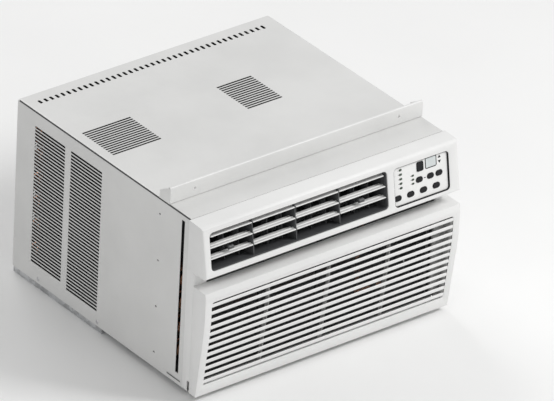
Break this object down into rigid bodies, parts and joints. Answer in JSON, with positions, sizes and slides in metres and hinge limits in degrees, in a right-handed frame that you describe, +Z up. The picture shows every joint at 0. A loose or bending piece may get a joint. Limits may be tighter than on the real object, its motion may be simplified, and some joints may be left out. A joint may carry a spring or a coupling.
{
  "type": "window air conditioner",
  "caption": "Window air conditioner: louvred steel case with a sash rail, air outlet with blades and vanes, button panel, lift-and-tilt inlet grille, and the cooling unit inside.",
  "frame": {"origin": "middle of the footprint, on the plane of the underside of the drip pan and bottom rail", "axes": "+X to the right as seen from the room, the front faces -Y, +Z up"},
  "size_m": [0.6, 0.59, 0.407],
  "materials": {
    "black_paint": "gloss",
    "blade_plastic": "fine texture",
    "board": "satin",
    "bright_steel": "turned",
    "button_plastic": "satin",
    "can_aluminium": "mill",
    "case_paint": "satin",
    "copper": "drawn copper",
    "dark_plastic": "matt",
    "fin_aluminium": "mill",
    "foam": "moulded foam",
    "front_plastic": "fine texture",
    "grey_plastic": "matt",
    "grille_plastic": "fine texture",
    "mesh": "woven",
    "overlay": "satin",
    "rail_steel": "satin",
    "rubber": "matt",
    "window": "gloss",
    "zinc_steel": "galvanised"
  },
  "bodies": {
    "chassis": {"base_pan": "zinc_steel", "outer_case": "case_paint", "rear_grille": "case_paint", "top_rail": "rail_steel", "bottom_rail": "rail_steel", "case_screws": "bright_steel", "front_bezel": "front_plastic", "outlet_frame": "grey_plastic", "blower_scroll": "foam", "bulkhead": "zinc_steel", "evaporator_fins": "fin_aluminium", "evaporator_tubes": "copper", "condenser_fins": "fin_aluminium", "condenser_tubes": "copper", "fan_shroud": "dark_plastic", "compressor": "black_paint", "compressor_grommets": "rubber", "refrigerant_pipes": "copper", "fan_motor": "zinc_steel", "motor_bracket": "zinc_steel", "control_box": "zinc_steel", "circuit_board": "board", "run_capacitor": "can_aluminium", "control_overlay": "overlay", "display_window": "window", "cord_gland": "rubber", "drain_plug": "rubber", "drain_pan": "foam"},
    "grille_carrier": {"grille_pins": "bright_steel"},
    "grille": {"inlet_grille": "grille_plastic"},
    "filter": {"filter_frame": "grey_plastic", "filter_mesh": "mesh"},
    "rotor": {"fan_shaft": "bright_steel", "blower_wheel": "dark_plastic", "condenser_fan": "dark_plastic"},
    "blade_1": {"blade_1": "blade_plastic"},
    "blade_2": {"blade_2": "blade_plastic"},
    "blade_3": {"blade_3": "blade_plastic"},
    "left_vane_1": {"left_vane_1": "grey_plastic"},
    "left_vane_2": {"left_vane_2": "grey_plastic"},
    "left_vane_3": {"left_vane_3": "grey_plastic"},
    "left_vane_4": {"left_vane_4": "grey_plastic"},
    "left_vane_5": {"left_vane_5": "grey_plastic"},
    "left_vane_6": {"left_vane_6": "grey_plastic"},
    "left_link": {"left_link": "grey_plastic"},
    "right_vane_1": {"right_vane_1": "grey_plastic"},
    "right_vane_2": {"right_vane_2": "grey_plastic"},
    "right_vane_3": {"right_vane_3": "grey_plastic"},
    "right_vane_4": {"right_vane_4": "grey_plastic"},
    "right_vane_5": {"right_vane_5": "grey_plastic"},
    "right_vane_6": {"right_vane_6": "grey_plastic"},
    "right_link": {"right_link": "grey_plastic"},
    "button_1": {"button_1": "button_plastic"},
    "button_2": {"button_2": "button_plastic"},
    "button_3": {"button_3": "button_plastic"},
    "button_4": {"button_4": "button_plastic"},
    "button_5": {"button_5": "button_plastic"},
    "button_6": {"button_6": "button_plastic"},
    "button_7": {"button_7": "button_plastic"},
    "button_8": {"button_8": "button_plastic"}
  },
  "joints": [
    {"name": "grille_lift", "type": "slide", "parent": "chassis", "child": "grille_carrier", "axis": [0, 0, 1], "range_m": [0, 0.008]},
    {"name": "grille_tilt", "type": "hinge", "parent": "grille_carrier", "child": "grille", "pos_m": [0, -0.261, 0.02], "axis": [1, 0, 0], "range_deg": [0, 70]},
    {"name": "filter_lift", "type": "slide", "parent": "chassis", "child": "filter", "axis": [0, 0, 1], "range_m": [0, 0.01]},
    {"name": "fan_spin", "type": "hinge", "parent": "chassis", "child": "rotor", "pos_m": [-0.05, 0, 0.168], "axis": [0, 1, 0], "continuous": true},
    {"name": "blade_1_tilt", "type": "hinge", "parent": "chassis", "child": "blade_1", "pos_m": [-0.0775, -0.26459, 0.34592], "axis": [1, 0, 0], "range_deg": [-30, 30]},
    {"name": "blade_2_tilt", "type": "hinge", "parent": "chassis", "child": "blade_2", "pos_m": [-0.0775, -0.26831, 0.32424], "axis": [1, 0, 0], "range_deg": [-30, 30]},
    {"name": "blade_3_tilt", "type": "hinge", "parent": "chassis", "child": "blade_3", "pos_m": [-0.0775, -0.27203, 0.30255], "axis": [1, 0, 0], "range_deg": [-30, 30]},
    {"name": "left_vane_1_swing", "type": "hinge", "parent": "chassis", "child": "left_vane_1", "pos_m": [-0.2681, -0.24764, 0.3146], "axis": [0, 0.1692, 0.9856], "range_deg": [-35, 35]},
    {"name": "left_vane_2_swing", "type": "hinge", "parent": "chassis", "child": "left_vane_2", "pos_m": [-0.2344, -0.24764, 0.3146], "axis": [0, 0.1692, 0.9856], "range_deg": [-35, 35]},
    {"name": "left_vane_3_swing", "type": "hinge", "parent": "chassis", "child": "left_vane_3", "pos_m": [-0.2007, -0.24764, 0.3146], "axis": [0, 0.1692, 0.9856], "range_deg": [-35, 35]},
    {"name": "left_vane_4_swing", "type": "hinge", "parent": "chassis", "child": "left_vane_4", "pos_m": [-0.167, -0.24764, 0.3146], "axis": [0, 0.1692, 0.9856], "range_deg": [-35, 35]},
    {"name": "left_vane_5_swing", "type": "hinge", "parent": "chassis", "child": "left_vane_5", "pos_m": [-0.1333, -0.24764, 0.3146], "axis": [0, 0.1692, 0.9856], "range_deg": [-35, 35]},
    {"name": "left_vane_6_swing", "type": "hinge", "parent": "chassis", "child": "left_vane_6", "pos_m": [-0.0996, -0.24764, 0.3146], "axis": [0, 0.1692, 0.9856], "range_deg": [-35, 35]},
    {"name": "left_link_slide", "type": "slide", "parent": "chassis", "child": "left_link", "axis": [1, 0, 0], "range_m": [-0.00402, 0.00402]},
    {"name": "right_vane_1_swing", "type": "hinge", "parent": "chassis", "child": "right_vane_1", "pos_m": [-0.0649, -0.24764, 0.3146], "axis": [0, 0.1692, 0.9856], "range_deg": [-35, 35]},
    {"name": "right_vane_2_swing", "type": "hinge", "parent": "chassis", "child": "right_vane_2", "pos_m": [-0.0312, -0.24764, 0.3146], "axis": [0, 0.1692, 0.9856], "range_deg": [-35, 35]},
    {"name": "right_vane_3_swing", "type": "hinge", "parent": "chassis", "child": "right_vane_3", "pos_m": [0.0025, -0.24764, 0.3146], "axis": [0, 0.1692, 0.9856], "range_deg": [-35, 35]},
    {"name": "right_vane_4_swing", "type": "hinge", "parent": "chassis", "child": "right_vane_4", "pos_m": [0.0362, -0.24764, 0.3146], "axis": [0, 0.1692, 0.9856], "range_deg": [-35, 35]},
    {"name": "right_vane_5_swing", "type": "hinge", "parent": "chassis", "child": "right_vane_5", "pos_m": [0.0699, -0.24764, 0.3146], "axis": [0, 0.1692, 0.9856], "range_deg": [-35, 35]},
    {"name": "right_vane_6_swing", "type": "hinge", "parent": "chassis", "child": "right_vane_6", "pos_m": [0.1036, -0.24764, 0.3146], "axis": [0, 0.1692, 0.9856], "range_deg": [-35, 35]},
    {"name": "right_link_slide", "type": "slide", "parent": "chassis", "child": "right_link", "axis": [1, 0, 0], "range_m": [-0.00402, 0.00402]},
    {"name": "button_1_press", "type": "slide", "parent": "chassis", "child": "button_1", "axis": [0, 0.9856, -0.1692], "range_m": [0, 0.0008], "stiffness_N_per_m": 2000},
    {"name": "button_2_press", "type": "slide", "parent": "chassis", "child": "button_2", "axis": [0, 0.9856, -0.1692], "range_m": [0, 0.0008], "stiffness_N_per_m": 2000},
    {"name": "button_3_press", "type": "slide", "parent": "chassis", "child": "button_3", "axis": [0, 0.9856, -0.1692], "range_m": [0, 0.0008], "stiffness_N_per_m": 2000},
    {"name": "button_4_press", "type": "slide", "parent": "chassis", "child": "button_4", "axis": [0, 0.9856, -0.1692], "range_m": [0, 0.0008], "stiffness_N_per_m": 2000},
    {"name": "button_5_press", "type": "slide", "parent": "chassis", "child": "button_5", "axis": [0, 0.9856, -0.1692], "range_m": [0, 0.0008], "stiffness_N_per_m": 2000},
    {"name": "button_6_press", "type": "slide", "parent": "chassis", "child": "button_6", "axis": [0, 0.9856, -0.1692], "range_m": [0, 0.0008], "stiffness_N_per_m": 2000},
    {"name": "button_7_press", "type": "slide", "parent": "chassis", "child": "button_7", "axis": [0, 0.9856, -0.1692], "range_m": [0, 0.0008], "stiffness_N_per_m": 2000},
    {"name": "button_8_press", "type": "slide", "parent": "chassis", "child": "button_8", "axis": [0, 0.9856, -0.1692], "range_m": [0, 0.0008], "stiffness_N_per_m": 2000}
  ],
  "couplings": [
    {"joint": "blade_2_tilt", "follows": "blade_1_tilt", "ratio": 1},
    {"joint": "blade_3_tilt", "follows": "blade_1_tilt", "ratio": 1},
    {"joint": "left_vane_1_swing", "follows": "left_vane_2_swing", "ratio": 1},
    {"joint": "left_vane_3_swing", "follows": "left_vane_2_swing", "ratio": 1},
    {"joint": "left_vane_4_swing", "follows": "left_vane_2_swing", "ratio": 1},
    {"joint": "left_vane_5_swing", "follows": "left_vane_2_swing", "ratio": 1},
    {"joint": "left_vane_6_swing", "follows": "left_vane_2_swing", "ratio": 1},
    {"joint": "left_link_slide", "follows": "left_vane_2_swing", "m_per_rad": -0.0065727},
    {"joint": "right_vane_1_swing", "follows": "right_vane_5_swing", "ratio": 1},
    {"joint": "right_vane_2_swing", "follows": "right_vane_5_swing", "ratio": 1},
    {"joint": "right_vane_3_swing", "follows": "right_vane_5_swing", "ratio": 1},
    {"joint": "right_vane_4_swing", "follows": "right_vane_5_swing", "ratio": 1},
    {"joint": "right_vane_6_swing", "follows": "right_vane_5_swing", "ratio": 1},
    {"joint": "right_link_slide", "follows": "right_vane_5_swing", "m_per_rad": -0.0065727}
  ]
}
